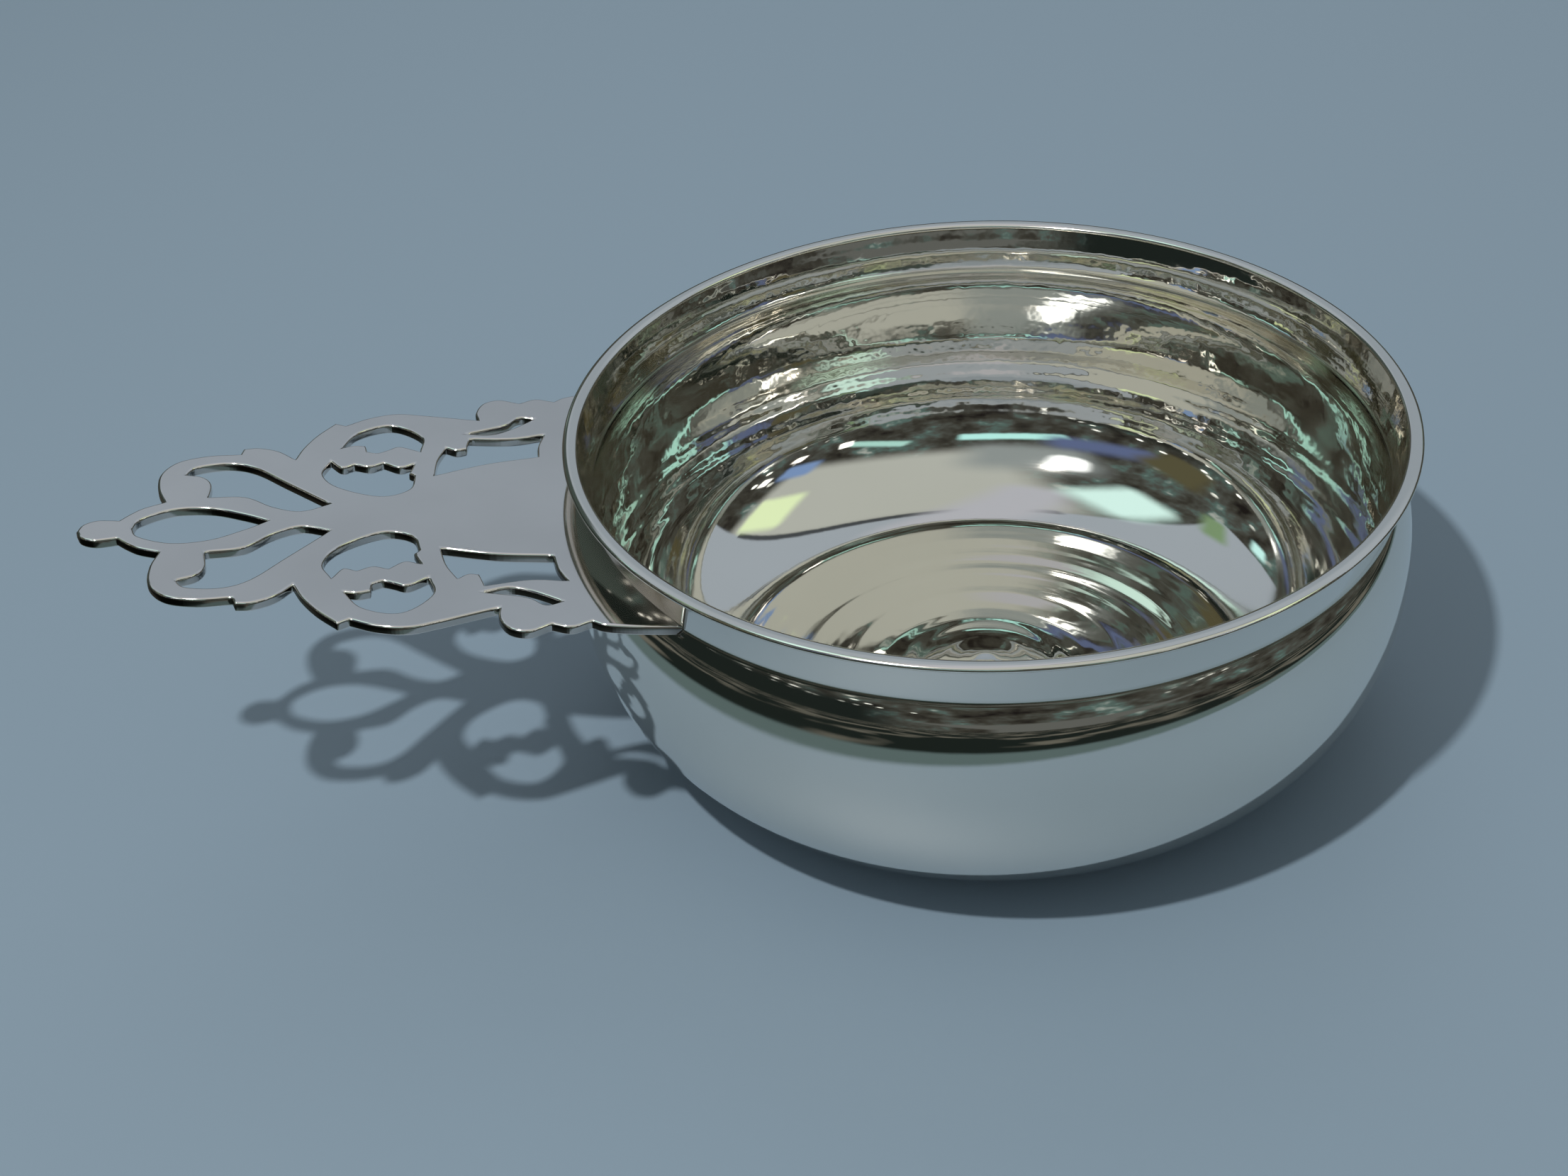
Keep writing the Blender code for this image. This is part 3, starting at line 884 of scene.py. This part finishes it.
OUTER_EYE_RUNS = [
    [(33.7, 18.3), (32.0, 18.8), (30.3, 18.5)],
    [(30.3, 18.5), (30.1, 16.9)],
    [(30.1, 16.9), (28.7, 16.4), (27.3, 17.0)],
    [(27.3, 17.0), (25.5, 17.8), (22.7, 16.2)],
    [(22.7, 16.2), (22.4, 20.2), (26.5, 23.8), (31.3, 22.2), (33.7, 18.3)],
]
SLOT_RUNS = [
    [(20.8, 9.4), (13.5, 11.7), (6.0, 12.9)],
    [(6.0, 12.9), (5.7, 15.9), (4.6, 19.0)],
    [(4.6, 19.0), (9.5, 18.2), (15.4, 18.9)],
    [(15.4, 18.9), (16.0, 16.2)],
    [(16.0, 16.2), (17.5, 15.9), (18.9, 16.8)],
    [(18.9, 16.8), (20.2, 13.4), (20.8, 9.4)],
]
SLIT_RUNS = [
    [(15.8, 20.4), (12.4, 19.8), (9.4, 21.0), (5.7, 23.7)],
    [(5.7, 23.7), (7.9, 24.2), (10.2, 22.2), (15.8, 20.4)],
]


def smooth_run(points):
    """Points of a smooth line through the given ones, without the last."""
    if len(points) == 2:
        shares = [step / STRAIGHT_STEPS for step in range(STRAIGHT_STEPS)]
        return [tuple(a + (b - a) * share for a, b in zip(*points)) for share in shares]
    first = [2 * a - b for a, b in zip(points[0], points[1])]
    last = [2 * a - b for a, b in zip(points[-1], points[-2])]
    chain = [first, *points, last]
    found = [points[0]]
    for before, start, end, after in zip(chain, chain[1:], chain[2:], chain[3:]):
        leave = [s + (e - b) / 6 for b, s, e in zip(before, start, end)]
        arrive = [e - (a - s) / 6 for s, e, a in zip(start, end, after)]
        found += bezier(start, leave, arrive, end, RUN_STEPS)
    return found[:-1]


def follow(runs):
    """Points along runs that join end to end, without the last."""
    return [point for run in runs for point in smooth_run(run)]


def mirrored(side):
    """A closed line from one side, which starts and ends on the centre line or at the root."""
    return side + [(along, -across) for along, across in reversed(side) if across > 0]


def handle_lines():
    """All closed lines of the handle: its outline, then its openings."""
    root = OUTLINE_RUNS[-1][-1]
    lines = [
        mirrored(follow(OUTLINE_RUNS) + [root, (root[0] - ROOT_IN_BOWL, root[1])]),
        mirrored(follow(BUD_RUNS) + [BUD_RUNS[-1][-1]]),
    ]
    for runs in (COMMA_RUNS, INNER_EYE_RUNS, OUTER_EYE_RUNS, SLOT_RUNS, SLIT_RUNS):
        ring = follow(runs)
        lines += [ring, [(along, -across) for along, across in reversed(ring)]]
    return lines


drawing = bpy.data.curves.new("handle_drawing", "CURVE")
drawing.dimensions = "2D"
drawing.fill_mode = "BOTH"
drawing.extrude = PLATE_THICKNESS / 2 - FILED_EDGE
drawing.bevel_depth = FILED_EDGE
drawing.bevel_resolution = FILED_STEPS
drawing.offset = -FILED_EDGE
for line in handle_lines():
    spline = drawing.splines.new("POLY")
    spline.points.add(len(line) - 1)
    for point, (along, across) in zip(spline.points, line):
        point.co = (-along * SQUARE, across * SQUARE, 0.0, 1.0)
    spline.use_cyclic_u = True
guide = bpy.data.objects.new("handle_drawing", drawing)
bpy.context.scene.collection.objects.link(guide)
graph = bpy.context.evaluated_depsgraph_get()
plate_mesh = bpy.data.meshes.new_from_object(guide.evaluated_get(graph), depsgraph=graph)
bpy.data.objects.remove(guide, do_unlink=True)
work = bmesh.new()
work.from_mesh(plate_mesh)
clean_up(work, SAME_CORNER)
work.to_mesh(plate_mesh)
work.free()
plate_mesh.transform(
    Matrix.Translation((BOWL_X - NECK_RADIUS, 0.0, NECK_Z))
    @ Matrix.Rotation(HANDLE_TILT, 4, "Y")
    @ Matrix.Translation((0.0, 0.0, PLATE_THICKNESS / 2))
)
plate_mesh.shade_smooth()
plate = bpy.data.objects.new("handle_sawn_plate", plate_mesh)
bpy.context.scene.collection.objects.link(plate)
seat_line = wall_profile(SEAM)
seat_line = [(0.0, seat_line[0][1]), *seat_line, (0.0, 0.0)]
seat = bpy.data.objects.new("neck_seat", turned_mesh("neck_seat", seat_line))
bpy.context.scene.collection.objects.link(seat)
cut = plate.modifiers.new("seat", "BOOLEAN")
cut.operation = "DIFFERENCE"
cut.solver = "EXACT"
cut.object = seat
graph = bpy.context.evaluated_depsgraph_get()
plate_mesh = bpy.data.meshes.new_from_object(plate.evaluated_get(graph), depsgraph=graph)
bpy.data.objects.remove(seat, do_unlink=True)
bpy.data.objects.remove(plate, do_unlink=True)
plate_mesh.name = "handle_sawn_plate"
plate_up = Vector((math.sin(HANDLE_TILT), 0.0, math.cos(HANDLE_TILT)))
shading = [vertex.normal.copy() for vertex in plate_mesh.vertices]
for face in plate_mesh.polygons:
    lean = face.normal.dot(plate_up)
    if abs(lean) > FLAT_LEAN:
        for corner in face.vertices:
            shading[corner] = math.copysign(1.0, lean) * plate_up
plate_mesh.normals_split_custom_set_from_vertices(shading)
plate = bpy.data.objects.new("handle_sawn_plate", plate_mesh)
bpy.context.scene.collection.objects.link(plate)


def long_marks(tree, place):
    """Grows across the handle, so that its polishing marks run along it."""
    return split_up(tree, place)["Y"]


def sawn_or_near_neck(tree, place):
    """Oxide on the sawn walls, with painted dark reflection on those facing the tip, and a darkening
    from the neck that ends a little way out.
    """
    radius = axis_distance(tree, place)
    neck = change_over(tree, radius, NECK_RADIUS, ROOT_DARKENING_END, ROOT_DARKENING, 0.0)
    sawn = add_node(tree, "ShaderNodeAttribute", {"attribute_name": "sawn"})
    return calculate(tree, "ADD", sawn.outputs["Fac"], neck)


# Every sawn wall gets some oxide; walls that face the tip get much more of the dark colour, a painted
# dark reflection.
sawn = plate_mesh.attributes.new("sawn", "FLOAT", "FACE")
for face, share in zip(plate_mesh.polygons, sawn.data):
    if abs(face.normal.dot(plate_up)) < SAWN_LEAN:
        to_tip = (-face.normal.x - TIPWARD_LEAST) / (TIPWARD_MOST - TIPWARD_LEAST)
        share.value = WALL_OXIDE + (WALL_OXIDE_AND_SHADE - WALL_OXIDE) * min(max(to_tip, 0.0), 1.0)
plate_material = silver_material(
    "handle_polished_silver",
    {
        "Ripple": 0.0,
        "Wobble": 0.000004,
        "Polish": 0.05,
        "Silver": (0.96, 0.91, 0.865, 1.0),
        # This near-black colour is the oxide on the sawn walls and the darkening near the neck, and on
        # walls facing the tip a painted dark reflection.
        "Tarnish": (0.07, 0.06, 0.05, 1.0),
    },
    Across_Marks=long_marks,
    Tarnished=sawn_or_near_neck,
)
plate_mesh.materials.clear()
plate_mesh.materials.append(plate_material)
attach(plate, "root")
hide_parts("handle_plate")

# Handle solder
# A thin bead of silver solder in the corner between the plate and the belly. It was drawn along
# by hand, so it swells and thins a little, and it is duller than the polished silver.
SOLDER_RADIUS = 0.0005
SOLDER_MARGIN = 0.0025
SOLDER_STEPS = 96
SOLDER_SIDES = 16
SOLDER_STAIN_REACH = 0.002
SOLDER_STAIN = 0.5
SWELL_DETAIL = 1.0
SWELL_LEAST = 0.3
SWELL_MOST = 0.7
solder_tree = bpy.data.node_groups.new("solder_bead", "GeometryNodeTree")
add_sockets(
    solder_tree,
    "INPUT",
    (
        ("Geometry", "Geometry"),
        ("Radius", "Float"),
        ("Thinnest", "Float"),
        ("Swells", "Float"),
        ("Finish", "Material"),
    ),
)
add_sockets(solder_tree, "OUTPUT", (("Geometry", "Geometry"),))
given = solder_tree.nodes.new("NodeGroupInput").outputs
swell = add_node(solder_tree, "ShaderNodeTexNoise", Scale=given["Swells"], Detail=SWELL_DETAIL)
share = change_over(
    solder_tree, swell.outputs["Fac"], SWELL_LEAST, SWELL_MOST, given["Thinnest"], curve="LINEAR"
)
thick = add_node(solder_tree, "GeometryNodeSetCurveRadius", Curve=given["Geometry"], Radius=share)
section = add_node(
    solder_tree,
    "GeometryNodeCurvePrimitiveCircle",
    Resolution=SOLDER_SIDES,
    Radius=given["Radius"],
)
swept = add_node(
    solder_tree,
    "GeometryNodeCurveToMesh",
    Curve=thick.outputs["Curve"],
    Profile_Curve=section.outputs["Curve"],
    Scale=share,
    Fill_Caps=True,
)
finish_tree(solder_tree, swept.outputs["Mesh"], given["Finish"])


def belly_radius(height):
    """Outer radius of the belly at a height below the crease."""
    below = [point for point in wall_profile() if point[1] <= NECK_Z]
    for upper, lower in zip(below, below[1:]):
        if lower[1] <= height <= upper[1]:
            share = (upper[1] - height) / (upper[1] - lower[1])
            return upper[0] + share * (lower[0] - upper[0])
    return NECK_RADIUS


bead_curve = bpy.data.curves.new("solder_path", "CURVE")
bead_curve.dimensions = "3D"
spline = bead_curve.splines.new("POLY")
spline.points.add(SOLDER_STEPS)
half_width = OUTLINE_RUNS[-1][-1][1] * SQUARE - SOLDER_MARGIN
reach = math.asin(half_width / NECK_RADIUS)
offset = SOLDER_RADIUS + SEAM
for step, point in enumerate(spline.points):
    angle = reach * (2 * step / SOLDER_STEPS - 1)
    behind = NECK_RADIUS * (1 - math.cos(angle))
    height = NECK_Z - behind * math.tan(HANDLE_TILT) - offset
    lean = (belly_radius(height - offset) - belly_radius(height)) / offset
    radius = belly_radius(height) + offset * math.hypot(1.0, lean)
    point.co = (BOWL_X - radius * math.cos(angle), radius * math.sin(angle), height, 1.0)
solder_material = silver_material(
    "satin_solder",
    {
        "Ripple": 0.0,
        "Wobble": 0.000015,
        "Polish": 0.22,
        "Silver": (0.84, 0.82, 0.76, 1.0),
        "Tarnish": (0.50, 0.45, 0.37, 1.0),
    },
    Across_Marks=round_marks,
    Tarnished=lambda tree, place: near_height(
        tree, place, NECK_Z, SOLDER_STAIN_REACH, SOLDER_STAIN
    ),
)
solder = made_by_nodes(
    "solder_seam",
    solder_tree,
    {
        "Radius": SOLDER_RADIUS,
        "Thinnest": 0.75,
        "Swells": 260.0,
        "Finish": solder_material,
    },
    bpy.data.objects.new("solder_path", bead_curve),
)
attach(solder, "root")
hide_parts("handle_solder")
